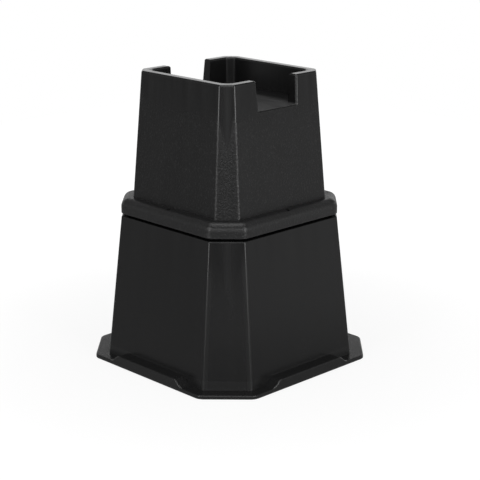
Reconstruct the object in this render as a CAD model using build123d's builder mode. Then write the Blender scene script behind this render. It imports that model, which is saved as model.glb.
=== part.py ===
from build123d import *
from math import atan, degrees
import os

# Two-piece stacking bed riser in moulded plastic. Sizes are in millimetres. The origin is at
# the middle of the base on the floor, +Z is up, and the notches of the sockets face +X and -X.

# Whole object
base_width = 157.0            # across the flats of the flange
total_height = 198.0
wall = 3.2                    # all leaning walls and the collar
floor_thickness = 4.0         # load floor under each socket

# Flange round the foot of the lower riser
flange_corner_cut = 25.9
flange_corner_radius = 8.0
rim_height = 2.4              # edge of the flange at the four corners
pad_height = 7.2              # edge of the flange along the middle of each side
pad_length = 54.0             # level stretch of the raised side
pad_slope_run = 10.6          # each end of a raised side falls to the rim over this length
flange_wall = 2.4
flange_edge_radius = 0.8

# Socket for the leg of the bed, the same on both risers
socket_width = 75.8
socket_cut = 4.0
socket_corner_radius = 1.2    # on the upper riser, where the leg stands
socket_depth = 19.3
notch_top_width = 36.6
notch_floor_width = 34.7
notch_edge_radius = 1.6
rim_width = 6.5               # flat top of the wall round the socket
rim_edge_radius = 1.2

# Upper riser above its ledge
upper_spread = 7.0            # each wall leans out by this much, down to the ledge
ledge_cut = 10.9
upper_corner_radius = 2.8

# Collar round the foot of the upper riser
seam = 1.5                    # open line between the shoulder and the collar
ledge_shelf = 8.7             # from the walls out to the face of the collar
collar_cut = 16.6
collar_height = 10.6
collar_corner_radius = 7.0
collar_top_radius = 5.6
collar_foot_chamfer = 0.7
slot_width = 2.0              # short drain slot in the ledge, in the middle of each side
slot_length = 2.7
slot_inset = 3.5              # from the outer face of the collar
slot_depth = 4.4              # through the ledge, into the hollow of the collar

# Lower riser
shoulder_height = 99.9
shoulder_inset = 0.4          # the shoulder is this much narrower than the collar on each side
lower_spread = 10.7           # each wall leans out by this much, down to the floor
lower_foot_cut = 22.4         # the corner cuts narrow upwards with the lean of the walls
lower_corner_radius = 2.2
shoulder_edge_radius = 0.8

# Inside of the risers
web_thickness = 2.6           # two crossing webs under each load floor
web_depth = 24.0
rib_thickness = 3.0           # upright ribs that centre the upper riser on the lower one
rib_spacing = 52.0
nest_clearance = 0.4          # between the lower socket and the ribs
foot_setback = 3.0            # the ribs' feet stop this far inside the collar wall

pick_slack = 0.1              # slack when edges are picked by their position

# Widths across the flats, from the socket outwards
top_width = socket_width + 2 * rim_width
ledge_width = top_width + 2 * upper_spread
collar_width = ledge_width + 2 * ledge_shelf
shoulder_width = collar_width - 2 * shoulder_inset
lower_foot_width = shoulder_width + 2 * lower_spread

# Levels
collar_foot = shoulder_height + seam
ledge_height = collar_foot + collar_height
upper_floor = total_height - socket_depth
lower_top = shoulder_height + socket_depth
cut_per_offset = 2 - 2 ** 0.5  # corner cut lost for each unit that all eight sides move in

# Lean of the walls: how far each side moves in for each unit of height
lower_lean = lower_spread / shoulder_height
upper_lean = upper_spread / (total_height - ledge_height)

# Outside of the socket walls at the level of the load floor, the same on both risers
floor_inset = upper_lean * (upper_floor - ledge_height)
socket_foot_width = ledge_width - 2 * floor_inset
socket_foot_cut = ledge_cut - cut_per_offset * floor_inset

# Facing ribs stand this far from the middle, clear of the lower riser's socket walls
rib_inner = socket_foot_width / 2 + nest_clearance


# Square with cut corners at height z, with all eight sides moved in by inset
def octagon(width, cut, z, inset=0):
    with BuildSketch(Plane.XY.offset(z)) as outline:
        Rectangle(width - 2 * inset, width - 2 * inset)
        chamfer(outline.vertices(), length=cut - cut_per_offset * inset)
    return outline.sketch


# Section of the lower riser's walls
def lower_section(z, inset=0):
    return octagon(lower_foot_width, lower_foot_cut, z, inset + lower_lean * z)


# Section of the upper riser's walls
def upper_section(z, inset=0):
    return octagon(ledge_width, ledge_cut, z, inset + upper_lean * (z - ledge_height))


# Block between a section and the height z_top, with sides that lean in
def leaning_block(section, z_bottom, z_top, lean):
    extrude(section, amount=z_top - z_bottom, taper=degrees(atan(lean)))


# Edges that lean or stand, from a solid whose other edges are all level
def upright_edges(part):
    return part.edges().filter_by(Plane.XY, reverse=True)


# Level edges round the top of a solid
def top_edges(part):
    return part.edges().group_by(Axis.Z)[-1]


# Side view of a raised side: level in the middle, with S-shaped ends down to the rim
def raised_side_profile():
    half = pad_length / 2
    foot = half + pad_slope_run
    with BuildSketch(Plane.XZ) as profile:
        with BuildLine():
            Spline((-foot, rim_height), (-half, pad_height), tangents=[(1, 0), (1, 0)])
            Line((-half, pad_height), (half, pad_height))
            Spline((half, pad_height), (foot, rim_height), tangents=[(1, 0), (1, 0)])
            Polyline((foot, rim_height), (foot, 0), (-foot, 0), (-foot, rim_height))
        make_face()
    return profile.sketch


# Side view of the channel under a raised side, which keeps its wall even
def channel_profile():
    half = pad_length / 2
    height = pad_height - flange_wall
    with BuildSketch(Plane.XZ) as profile:
        with BuildLine():
            Polyline((-half - height, 0), (-half, height), (half, height), (half + height, 0), close=True)
        make_face()
    return profile.sketch


# Outer edges of the notches: two leaning cheeks and, where the wall goes on below, the sill
def on_notch_edge(edge):
    middle = edge @ 0.5
    outer_foot = socket_foot_width / 2
    outer_top = outer_foot - upper_lean * socket_depth
    in_wall = outer_top - pick_slack < abs(middle.X) < outer_foot + pick_slack
    return in_wall and abs(middle.Y) < notch_top_width / 2 + pick_slack


# Socket and its two notches, cut down to floor_z, with the rims and notch edges rounded
def cut_socket(part, floor_z, top_z, corner_radius=0):
    with BuildSketch(Plane.XY.offset(floor_z)) as socket:
        Rectangle(socket_width, socket_width)
        chamfer(socket.vertices(), length=socket_cut)
        if corner_radius > 0:
            fillet(socket.vertices(), radius=corner_radius)
    extrude(socket.sketch, amount=socket_depth, mode=Mode.SUBTRACT)
    with BuildSketch(Plane.YZ) as notch:
        with BuildLine():
            Polyline(
                (-notch_floor_width / 2, floor_z),
                (-notch_top_width / 2, top_z),
                (notch_top_width / 2, top_z),
                (notch_floor_width / 2, floor_z),
                close=True,
            )
        make_face()
    extrude(notch.sketch, amount=base_width / 2, both=True, mode=Mode.SUBTRACT)
    fillet(part.edges().filter_by(on_notch_edge), radius=notch_edge_radius)
    fillet(top_edges(part), radius=rim_edge_radius)


# Crossing webs, as slots in the core that shapes the hollow under a load floor
def cut_webs(underside):
    with BuildSketch(Plane.XY.offset(underside - web_depth)) as webs:
        Rectangle(web_thickness, base_width)
        Rectangle(base_width, web_thickness)
    extrude(webs.sketch, amount=web_depth, mode=Mode.SUBTRACT)


# Strips where the upright ribs stand, from half_inner out to half_outer on all four sides
def rib_strips(z, half_inner, half_outer):
    length = half_outer - half_inner
    with BuildSketch(Plane.XY.offset(z)) as strips:
        with PolarLocations((half_inner + half_outer) / 2, 4):
            with GridLocations(0, rib_spacing, 1, 2):
                Rectangle(length, rib_thickness)
    return strips.sketch


# Core of the lower riser: the hollow under its shoulder, and the channels in the flange
def lower_core():
    underside = shoulder_height - floor_thickness
    with BuildPart() as core:
        leaning_block(lower_section(0, wall), 0, underside, lower_lean)
        cut_webs(underside)
        reach = base_width / 2 - flange_wall
        channel = extrude(channel_profile(), amount=reach, both=True, mode=Mode.PRIVATE)
        add(channel)
        add(channel.rotate(Axis.Z, 90))
    return core.part


# Core of the upper riser: the hollow in its collar and walls, with slots for webs and ribs
def upper_core():
    underside = upper_floor - floor_thickness
    with BuildPart() as core:
        leaning_block(upper_section(collar_foot, wall), collar_foot, underside, upper_lean)
        extrude(octagon(collar_width, collar_cut, collar_foot, wall), amount=collar_height - wall)
        cut_webs(underside)
        strips = rib_strips(collar_foot, rib_inner, collar_width / 2)
        extrude(strips, amount=underside - collar_foot, mode=Mode.SUBTRACT)
    return core.part


# Flange with its raised sides, still solid in the middle
def flange():
    def on_top_rim(edge):
        middle = edge @ 0.5
        reach = max(abs(middle.X), abs(middle.Y), (abs(middle.X) + abs(middle.Y) + flange_corner_cut) / 2)
        return reach > base_width / 2 - flange_corner_radius and min((edge @ 0).Z, (edge @ 1).Z) > 0

    with BuildPart() as block:
        extrude(octagon(base_width, flange_corner_cut, 0), amount=rim_height)
        fillet(upright_edges(block), radius=flange_corner_radius)
        raised = extrude(raised_side_profile(), amount=base_width / 2, both=True, mode=Mode.PRIVATE)
        add(raised)
        add(raised.rotate(Axis.Z, 90))
        fillet(block.edges().filter_by(on_top_rim), radius=flange_edge_radius)
    return block.part


# Socket walls that stand on the lower riser's shoulder, before the socket is cut
def lower_socket_block():
    with BuildPart() as block:
        foot = octagon(socket_foot_width, socket_foot_cut, shoulder_height)
        leaning_block(foot, shoulder_height, lower_top, upper_lean)
        fillet(upright_edges(block), radius=upper_corner_radius)
    return block.part


# Collar with its rounded shoulder, still solid in the middle
def collar():
    with BuildPart() as block:
        extrude(octagon(collar_width, collar_cut, collar_foot), amount=collar_height)
        fillet(upright_edges(block), radius=collar_corner_radius)
        fillet(top_edges(block), radius=collar_top_radius)
        chamfer(block.edges().group_by(Axis.Z)[0], length=collar_foot_chamfer)
    return block.part


# Short slots in the ledge, one on each side
def ledge_slots():
    with BuildSketch(Plane.XY.offset(ledge_height - slot_depth)) as slots:
        with PolarLocations((collar_width - slot_length) / 2 - slot_inset, 4):
            Rectangle(slot_length, slot_width)
    return slots.sketch


# Lower riser: flange, leaning walls, shoulder and socket in one moulding
lower_flange = flange()
lower_socket = lower_socket_block()
lower_hollow = lower_core()

with BuildPart() as lower_riser:
    leaning_block(lower_section(0), 0, shoulder_height, lower_lean)
    fillet(upright_edges(lower_riser), radius=lower_corner_radius)
    fillet(top_edges(lower_riser), radius=shoulder_edge_radius)
    add(lower_flange)
    add(lower_socket)
    cut_socket(lower_riser, shoulder_height, lower_top)
    add(lower_hollow, mode=Mode.SUBTRACT)
lower_riser.part.label = "lower_riser"

# Upper riser: collar, leaning walls and socket in one moulding, seated on its ribs' feet
upper_collar = collar()
upper_hollow = upper_core()
foot_outer = collar_width / 2 - wall - foot_setback

with BuildPart() as upper_riser:
    leaning_block(upper_section(collar_foot), collar_foot, total_height, upper_lean)
    fillet(upright_edges(upper_riser), radius=upper_corner_radius)
    add(upper_collar)
    cut_socket(upper_riser, upper_floor, total_height, socket_corner_radius)
    add(upper_hollow, mode=Mode.SUBTRACT)
    extrude(ledge_slots(), amount=slot_depth, mode=Mode.SUBTRACT)
    extrude(rib_strips(shoulder_height, rib_inner, foot_outer), amount=seam)
upper_riser.part.label = "upper_riser"

os.makedirs("parts", exist_ok=True)
export_step(lower_riser.part, "parts/lower_riser.step")
export_step(upper_riser.part, "parts/upper_riser.step")
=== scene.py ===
import math
import bpy
from mathutils import Matrix, Vector

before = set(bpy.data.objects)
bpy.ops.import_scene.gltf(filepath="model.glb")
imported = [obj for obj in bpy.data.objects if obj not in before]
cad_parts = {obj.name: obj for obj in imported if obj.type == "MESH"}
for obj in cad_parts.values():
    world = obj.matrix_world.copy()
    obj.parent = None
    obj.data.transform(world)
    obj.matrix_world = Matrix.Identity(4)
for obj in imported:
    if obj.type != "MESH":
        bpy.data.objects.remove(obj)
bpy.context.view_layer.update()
print("frame loaded:", ", ".join(sorted(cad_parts)))


# camera: eye in metres, angles in degrees, fitted to the outline of the risers
cameraView = {
    "eye": (0.68046, -0.65015, 0.35743),
    "azimuth": 45.868,
    "pitch": 16.446,
    "roll": -0.110,
    "lens": 106.715,
}


def addCamera(view):
    turn, tilt, roll = (math.radians(view[key]) for key in ("azimuth", "pitch", "roll"))
    back = Vector((math.sin(turn) * math.cos(tilt), -math.cos(turn) * math.cos(tilt), math.sin(tilt)))
    level = Vector((math.cos(turn), math.sin(turn), 0))
    upright = back.cross(level)
    right = math.cos(roll) * level + math.sin(roll) * upright
    up = math.cos(roll) * upright - math.sin(roll) * level
    camera = bpy.data.objects.new("camera", bpy.data.cameras.new("camera"))
    camera.data.lens = view["lens"]
    axes = Matrix((right, up, back)).transposed().to_4x4()
    camera.matrix_world = Matrix.Translation(view["eye"]) @ axes
    bpy.context.scene.collection.objects.link(camera)
    bpy.context.scene.camera = camera


addCamera(cameraView)
bpy.context.scene.view_settings.view_transform = "Standard"
print("camera placed")


# helpers for node trees: an input is either a value or the output of another node
def addNode(tree, kind, inputs=None, **settings):
    node = tree.nodes.new(kind)
    for key, value in settings.items():
        setattr(node, key, value)
    for key, value in (inputs or {}).items():
        socket = node.inputs[key]
        if isinstance(value, bpy.types.NodeSocket):
            tree.links.new(value, socket)
        else:
            socket.default_value = value
    return node


def addMath(tree, operation, *values, clamp=False):
    node = addNode(tree, "ShaderNodeMath", dict(enumerate(values)), operation=operation, use_clamp=clamp)
    return node.outputs[0]


# what goes from one end to the other while the value crosses the span
def addRange(tree, value, span=(0.0, 1.0), ends=(0.0, 1.0), smooth=False):
    node = addNode(tree, "ShaderNodeMapRange", {
        "Value": value, "From Min": span[0], "From Max": span[1], "To Min": ends[0], "To Max": ends[1]})
    if smooth:
        node.interpolation_type = "SMOOTHSTEP"
    return node.outputs[0]


# value that a noise carries up and down by half the amount
def addSway(tree, value, noise, amount):
    return addMath(tree, "MULTIPLY_ADD", noise, amount, addMath(tree, "SUBTRACT", value, amount / 2))


def addNoise(tree, place, size, detail, roughness=0.5):
    inputs = {"Vector": place, "Scale": 1 / size, "Detail": detail, "Roughness": roughness}
    return addNode(tree, "ShaderNodeTexNoise", inputs).outputs["Fac"]


def addColourMix(tree, factor, first, second):
    return addNode(tree, "ShaderNodeMix", {0: factor, 6: first, 7: second}, data_type="RGBA").outputs[2]


# how far a place lies along a direction
def addAlong(tree, place, direction):
    return addNode(tree, "ShaderNodeVectorMath", {0: place, 1: direction}, operation="DOT_PRODUCT").outputs["Value"]


def newMaterial(name):
    material = bpy.data.materials.new(name)
    material.use_nodes = True
    material.node_tree.nodes.clear()
    return material, material.node_tree


# moulded black plastic: fine grain on the walls, and a smoother band with streaks at the top of each riser
# pale is a share of the pale colour, and all lengths are in metres
blackPlastic = {
    "colour": (0.0050, 0.0050, 0.0052, 1),
    "paleColour": (0.034, 0.034, 0.0345, 1),
    "specular": 0.5,
    "smoothRoughness": 0.17,                    # in the band; each riser has its own below that
    "grainSize": 0.0012,                        # across one speck
    "grainDepth": 0.00030,
    "fleckSpan": (0.56, 0.72),                  # only the tops of the grain are pale
    "fleckPale": 0.84,
    "blotchSize": 0.030,                        # broad dull and shiny blotches
    "blotchRoughness": 0.10,
    "streakSize": 0.0085,
    "streakStretch": 0.07,                      # small, so that the streaks run up the walls
    "streakSpan": (0.32, 0.68),
    "streakRoughness": 0.06,
    "bandDrop": (0.012, 0.028),                 # how far the smooth band comes down, where least and where most
    "bandFade": (0.006, 0.018),                 # how soft that end is, on the corners and on the walls
    "cornerWidth": 0.010,                       # on each corner the band ends in a point
    "cornerDrop": 0.016,
    # the band's points on the corners are paler: a painted highlight
    "cornerHighlightPale": 0.36,
    "edgeWidth": 0.0012,                        # the upright edges below the band are a little worn
    "edgeRoughness": 0.34,
    "footHighlightPale": 0.90,                           # painted highlight along the lower edge, as wide as they are
    "insideColour": (0.008, 0.008, 0.0082, 1),
    "insideRoughness": 0.30,
    # paler lines along the socket's inner corners: a painted highlight
    "insideHighlightWidth": 0.0007,
    "insideHighlightPale": 0.60,
    "socketLightColour": (0.058, 0.058, 0.0585, 1),   # painted light on the floor of the socket
    "socketLightRoughness": 0.50,
    "socketLightHeight": 0.001,
    "socketLightReach": (0.0165, 0.0275),             # full out to here from the middle line, and fading out to here
    "socketLightStreakSize": 0.0035,
    "socketLightStreakStretch": 0.12,
    "socketLightStreakSpan": (0.35, 0.62),
    "socketLightStreakDepth": 0.45,                       # share of the painted light that the streaks leave out
}

# the sockets, the same in both risers: a point belongs to one up to these distances from the middle
socketPlace = {
    "half": 0.0382,
    "notchHalf": 0.0187,
    "notchReach": 0.0480,
    "cornerSum": 0.0718,                        # x and y add up to this along the cuts across its corners
}

# roughness, grain, streaks and pale are how strong each is on a riser
# the leaning walls have the half width and the corner cut at the height, and lose the lean for each metre up
# the paler low part, a painted sheen, goes from the foot up to its top
riserLooks = {
    "lower_riser": {
        "roughness": 0.23, "grain": 0.25, "streaks": 0.10, "pale": 0.11, "seed": 0.0,
        "height": 0.0, "halfWidth": 0.0704, "cut": 0.0224, "lean": 0.1071,
        "foot": 0.0, "sheenTop": 0.0085, "sheenPale": 0.20, "bandTop": 0.0999, "socketFloor": 0.0996,
    },
    "upper_riser": {
        "roughness": 0.33, "grain": 0.9, "streaks": 0.26, "pale": 0.0, "seed": 0.31,
        "height": 0.112, "halfWidth": 0.0514, "cut": 0.0109, "lean": 0.0814,
        "foot": 0.1016, "sheenTop": 0.1122, "sheenPale": 0.32, "bandTop": 0.198, "socketFloor": 0.1784,
    },
}
cutPerOffset = 2 - 2 ** 0.5     # corner cut lost for each metre that the walls move in


# where a point lies: its height, its distances from the two middle planes, and the walls at its height
def addPlaces(tree, riser):
    place = addNode(tree, "ShaderNodeTexCoord").outputs["Object"]
    x, y, height = addNode(tree, "ShaderNodeSeparateXYZ", {0: place}).outputs
    width = addMath(tree, "ABSOLUTE", x)
    depth = addMath(tree, "ABSOLUTE", y)
    rise = addMath(tree, "SUBTRACT", height, riser["height"])
    return {
        "place": place, "x": x, "y": y, "height": height, "width": width, "depth": depth,
        "across": addMath(tree, "MAXIMUM", width, depth),
        "bothWays": addMath(tree, "ADD", width, depth),
        "half": addMath(tree, "MULTIPLY_ADD", rise, -riser["lean"], riser["halfWidth"]),
        "cut": addMath(tree, "MULTIPLY_ADD", rise, -riser["lean"] * cutPerOffset, riser["cut"]),
    }


# streaks that follow the lean of the walls
def addStreaks(tree, at, look, riser):
    spread = addMath(tree, "DIVIDE", riser["halfWidth"], at["half"])
    squared = addNode(tree, "ShaderNodeCombineXYZ", {
        "X": addMath(tree, "MULTIPLY", at["x"], spread),
        "Y": addMath(tree, "MULTIPLY", at["y"], spread),
        "Z": addMath(tree, "MULTIPLY_ADD", at["height"], look["streakStretch"], riser["seed"])}).outputs[0]
    noise = addNoise(tree, squared, look["streakSize"], detail=2.0, roughness=0.6)
    return addRange(tree, noise, look["streakSpan"])


# smooth band: streaks carry its lower end up and down, and it comes to a point on the corners
def addBand(tree, at, streaks, look, riser):
    cornerWidth = look["cornerWidth"]
    offCorner = addMath(tree, "ABSOLUTE", addMath(tree, "SUBTRACT", at["width"], at["depth"]))
    point = addRange(tree, offCorner, (0.0, cornerWidth), (1.0, 0.0))
    drop = addRange(tree, streaks, ends=look["bandDrop"])
    drop = addMath(tree, "MULTIPLY_ADD", point, look["cornerDrop"], drop)
    above = addMath(tree, "SUBTRACT", at["height"], addMath(tree, "SUBTRACT", riser["bandTop"], drop))
    fade = addRange(tree, offCorner, (cornerWidth, 2 * cornerWidth), look["bandFade"])
    band = addRange(tree, addMath(tree, "DIVIDE", above, fade), (-1.0, 1.0), smooth=True)
    return band, point


# 1 along the upright edges where a wall and the cut across a corner meet
def addEdge(tree, at, wall, cornerSum, width):
    offWall = addMath(tree, "ABSOLUTE", addMath(tree, "SUBTRACT", at["across"], wall))
    offCorner = addMath(tree, "ABSOLUTE", addMath(tree, "SUBTRACT", at["bothWays"], cornerSum))
    return addRange(tree, addMath(tree, "ADD", offWall, offCorner), (width, 2 * width), (1.0, 0.0))


# inside of the socket: within its walls or its notches, and above its floor
def addInside(tree, at, riser):
    half, notchHalf, notchReach = (socketPlace[key] for key in ("half", "notchHalf", "notchReach"))
    within = addMath(tree, "MINIMUM", at["across"], addMath(tree, "MULTIPLY", at["depth"], half / notchHalf))
    within = addMath(tree, "MAXIMUM", within, addMath(tree, "SUBTRACT", at["across"], notchReach - half))
    return addMath(tree, "MULTIPLY", addMath(tree, "LESS_THAN", within, half),
                   addMath(tree, "GREATER_THAN", at["height"], riser["socketFloor"]))


# painted light on the floor of the socket, broken by streaks from notch to notch
def addSocketLight(tree, at, inside, look, riser):
    nearFloor = addMath(tree, "LESS_THAN", at["height"], riser["socketFloor"] + look["socketLightHeight"])
    reach = addRange(tree, at["depth"], look["socketLightReach"], (1.0, 0.0), smooth=True)
    drawn = addNode(tree, "ShaderNodeMapping", {
        "Vector": at["place"], "Scale": (look["socketLightStreakStretch"], 1, 1)}).outputs[0]
    socketLightStreaks = addNoise(tree, drawn, look["socketLightStreakSize"], detail=2.0)
    socketLightStreaks = addRange(tree, socketLightStreaks, look["socketLightStreakSpan"], (1 - look["socketLightStreakDepth"], 1.0))
    socketLight = addMath(tree, "MULTIPLY", addMath(tree, "MULTIPLY", inside, nearFloor), reach)
    return addMath(tree, "MULTIPLY", socketLight, socketLightStreaks)


# painted sheen on the low part, and a painted highlight along its lower edge
def addLowSheen(tree, at, look, riser):
    foot = riser["foot"]
    low = addMath(tree, "LESS_THAN", at["height"], riser["sheenTop"])
    footHighlight = addRange(tree, at["height"], (foot, foot + look["edgeWidth"]), (look["footHighlightPale"], 0.0))
    lowSheen = addMath(tree, "MULTIPLY_ADD", low, riser["sheenPale"], footHighlight)
    return addMath(tree, "MULTIPLY", lowSheen, addMath(tree, "GREATER_THAN", at["height"], foot))


def makeBlackPlastic(name, look, riser):
    material, tree = newMaterial(name)
    at = addPlaces(tree, riser)
    streaks = addStreaks(tree, at, look, riser)
    band, point = addBand(tree, at, streaks, look, riser)
    belowBand = addMath(tree, "SUBTRACT", 1.0, band)
    wallCorner = addMath(tree, "SUBTRACT", addMath(tree, "MULTIPLY", at["half"], 2.0), at["cut"])
    edge = addEdge(tree, at, at["half"], wallCorner, look["edgeWidth"])
    inside = addInside(tree, at, riser)
    insideHighlightLine = addEdge(tree, at, socketPlace["half"], socketPlace["cornerSum"], look["insideHighlightWidth"])
    socketLight = addSocketLight(tree, at, inside, look, riser)
    lowSheen = addLowSheen(tree, at, look, riser)

    seeded = addNode(tree, "ShaderNodeMapping", {
        "Vector": at["place"], "Location": (riser["seed"], riser["seed"], 0)}).outputs[0]
    specks = addNoise(tree, seeded, look["grainSize"], detail=2.0, roughness=0.6)
    blotches = addNoise(tree, seeded, look["blotchSize"], detail=1.0)
    grained = addMath(tree, "MULTIPLY", belowBand, riser["grain"])

    roughness = addRange(tree, band, ends=(riser["roughness"], look["smoothRoughness"]))
    roughness = addSway(tree, roughness, blotches, look["blotchRoughness"])
    roughness = addSway(tree, roughness, streaks, look["streakRoughness"])
    worn = addMath(tree, "MULTIPLY", edge, belowBand)
    for mask, key in ((worn, "edgeRoughness"), (inside, "insideRoughness"), (socketLight, "socketLightRoughness")):
        roughness = addRange(tree, mask, ends=(roughness, look[key]))

    # how pale the outside is: flecks of the grain, streaks of the band, a painted highlight on its points at the
    # corners, and a painted sheen on the low part with a painted highlight along the foot
    flecks = addMath(tree, "MULTIPLY", addRange(tree, specks, look["fleckSpan"]), grained)
    cornerHighlight = addMath(tree, "MULTIPLY", addMath(tree, "POWER", point, 2.0), look["cornerHighlightPale"])
    streaked = addMath(tree, "MULTIPLY_ADD", streaks, riser["streaks"], cornerHighlight)
    pale = addMath(tree, "MULTIPLY_ADD", flecks, look["fleckPale"], riser["pale"])
    pale = addMath(tree, "ADD", pale, addMath(tree, "MULTIPLY_ADD", band, streaked, lowSheen))
    outer = addColourMix(tree, pale, look["colour"], look["paleColour"])
    # painted highlight along the socket's inner corners
    insideHighlight = addMath(tree, "MULTIPLY", insideHighlightLine, look["insideHighlightPale"])
    inner = addColourMix(tree, insideHighlight, look["insideColour"], look["paleColour"])
    colour = addColourMix(tree, inside, outer, inner)
    # painted light on the socket floor
    colour = addColourMix(tree, socketLight, colour, look["socketLightColour"])

    bump = addNode(tree, "ShaderNodeBump", {
        "Height": addMath(tree, "MULTIPLY", specks, grained), "Distance": look["grainDepth"]})
    shader = addNode(tree, "ShaderNodeBsdfPrincipled", {
        "Base Color": colour, "Roughness": roughness,
        "Specular IOR Level": look["specular"], "Normal": bump.outputs[0]})
    addNode(tree, "ShaderNodeOutputMaterial", {"Surface": shader.outputs[0]})
    return material


for node, riser in riserLooks.items():
    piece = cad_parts[node]
    piece.data.materials.clear()
    piece.data.materials.append(makeBlackPlastic("blackPlastic_" + node.split("_")[0], blackPlastic, riser))
print("plastic made")


# studio: a pale sheet on a table in white surroundings, which gloss sees dimmer than the camera does
studio = {
    "forward": (0.717, -0.697, 0),      # from the risers towards the camera, and to its right
    "rightward": (0.697, 0.717, 0),
    "sheetSize": 1.5,
    "sheetDrop": 0.0002,
    "sheetColour": (0.40, 0.40, 0.40, 1),
    "shownColour": (0.20, 0.20, 0.20, 1),
    "nearGlow": 0.86,                   # what the camera sees of the sheet besides the light on it
    "nearReach": (0.10, 0.40),          # metres from the middle over which that rises to white
    "ambient": 0.12,
    "lowGlow": (0.25, 0.405),           # gloss sees this below the horizon, on the left and on the right
    "lowReach": (0.05, 0.35),           # from here to here rightward on the sheet, in metres
    "lowTurn": (0.1, 0.7),              # and rightward in the surroundings, where 1 is straight right
    "farGlow": (1.65, 4.2),             # times that just above it, at the sides and in front or behind
    "farTurn": (0.4, 0.9),
    "highGlow": 0.20,                   # and this higher up
    "horizon": (1.0, 8.0, 15.0, 17.0),  # degrees above the horizon where these start and end
    "spotGlow": 0.48,                   # more of it on the sheet in front of the risers
    "spotPlace": (0.30, -0.29, 0),
    "spotReach": (0.03, 0.11),
}

# a tall soft light on each side, a wide one higher up in front and one above: middle, width, height, brightness
softLights = {
    "lightLeft": ((0.0, -1.5, 0.25), 0.6, 1.7, 3.3),
    "lightRight": ((1.5, 0.0, 0.25), 0.6, 1.7, 3.6),
    "lightFront": ((1.08, -1.05, 0.62), 0.9, 0.40, 1.7),
    "lightAbove": ((0.0, 0.0, 1.6), 1.2, 1.2, 1.8),
}
lightAim = (0, 0, 0.1)


def addSheet(look):
    half = look["sheetSize"] / 2
    z = -look["sheetDrop"]
    mesh = bpy.data.meshes.new("sheet")
    mesh.from_pydata([(-half, -half, z), (half, -half, z), (half, half, z), (-half, half, z)], [], [(0, 1, 2, 3)])
    sheet = bpy.data.objects.new("sheet", mesh)
    bpy.context.scene.collection.objects.link(sheet)
    material, tree = newMaterial("paleSheet")
    path = addNode(tree, "ShaderNodeLightPath")
    place = addNode(tree, "ShaderNodeTexCoord").outputs["Object"]

    offSpot = addNode(tree, "ShaderNodeVectorMath", {0: place, 1: look["spotPlace"]}, operation="DISTANCE")
    spot = addRange(tree, offSpot.outputs["Value"], look["spotReach"], (look["spotGlow"], 0.0), smooth=True)
    low = addRange(tree, addAlong(tree, place, look["rightward"]), look["lowReach"], look["lowGlow"], smooth=True)
    glossGlow = addNode(tree, "ShaderNodeEmission", {"Strength": addMath(tree, "ADD", low, spot)})
    plain = addNode(tree, "ShaderNodeBsdfDiffuse", {"Color": look["sheetColour"]})
    unseen = addNode(tree, "ShaderNodeMixShader", {
        0: path.outputs["Is Glossy Ray"], 1: plain.outputs[0], 2: glossGlow.outputs[0]})

    distance = addNode(tree, "ShaderNodeVectorMath", {0: place}, operation="LENGTH").outputs["Value"]
    shown = addRange(tree, distance, look["nearReach"], (look["nearGlow"], 1.0), smooth=True)
    glow = addNode(tree, "ShaderNodeEmission", {"Strength": shown})
    pale = addNode(tree, "ShaderNodeBsdfDiffuse", {"Color": look["shownColour"]})
    seen = addNode(tree, "ShaderNodeAddShader", {0: pale.outputs[0], 1: glow.outputs[0]})
    both = addNode(tree, "ShaderNodeMixShader", {
        0: path.outputs["Is Camera Ray"], 1: unseen.outputs[0], 2: seen.outputs[0]})
    addNode(tree, "ShaderNodeOutputMaterial", {"Surface": both.outputs[0]})
    mesh.materials.append(material)


def addSurroundings(look):
    world = bpy.data.worlds.new("surroundings")
    bpy.context.scene.world = world
    world.use_nodes = True
    tree = world.node_tree
    tree.nodes.clear()
    path = addNode(tree, "ShaderNodeLightPath")
    direction = addNode(tree, "ShaderNodeTexCoord").outputs["Generated"]
    height = addNode(tree, "ShaderNodeSeparateXYZ", {0: direction}).outputs["Z"]
    start, full, turn, high = (math.sin(math.radians(degrees)) for degrees in look["horizon"])

    forward = addMath(tree, "ABSOLUTE", addAlong(tree, direction, look["forward"]))
    far = addRange(tree, forward, look["farTurn"], look["farGlow"], smooth=True)
    low = addRange(tree, addAlong(tree, direction, look["rightward"]), look["lowTurn"], look["lowGlow"], smooth=True)
    rising = addRange(tree, height, (start, full), (low, addMath(tree, "MULTIPLY", low, far)), smooth=True)
    glossy = addRange(tree, height, (turn, high), (rising, look["highGlow"]), smooth=True)
    bounced = addMath(tree, "ADD", path.outputs["Is Glossy Ray"], path.outputs["Is Transmission Ray"], clamp=True)
    light = addRange(tree, bounced, ends=(look["ambient"], glossy))
    shown = addRange(tree, path.outputs["Is Camera Ray"], ends=(light, 1.0))
    background = addNode(tree, "ShaderNodeBackground", {"Color": (1, 1, 1, 1), "Strength": shown})
    addNode(tree, "ShaderNodeOutputWorld", {"Surface": background.outputs[0]})


def addLights(lights, aim):
    for name, (place, width, height, brightness) in lights.items():
        data = bpy.data.lights.new(name, "AREA")
        data.shape = "RECTANGLE"
        data.size, data.size_y = width, height
        data.energy = brightness * width * height * math.pi
        light = bpy.data.objects.new(name, data)
        light.location = place
        toward = Vector(aim) - Vector(place)
        if abs(toward.z) < abs(toward.x) + abs(toward.y):
            toward.z = 0            # all but the one above stand upright
        light.rotation_euler = toward.to_track_quat("-Z", "Y").to_euler()
        bpy.context.scene.collection.objects.link(light)


addSheet(studio)
addSurroundings(studio)
addLights(softLights, lightAim)
print("studio lit")
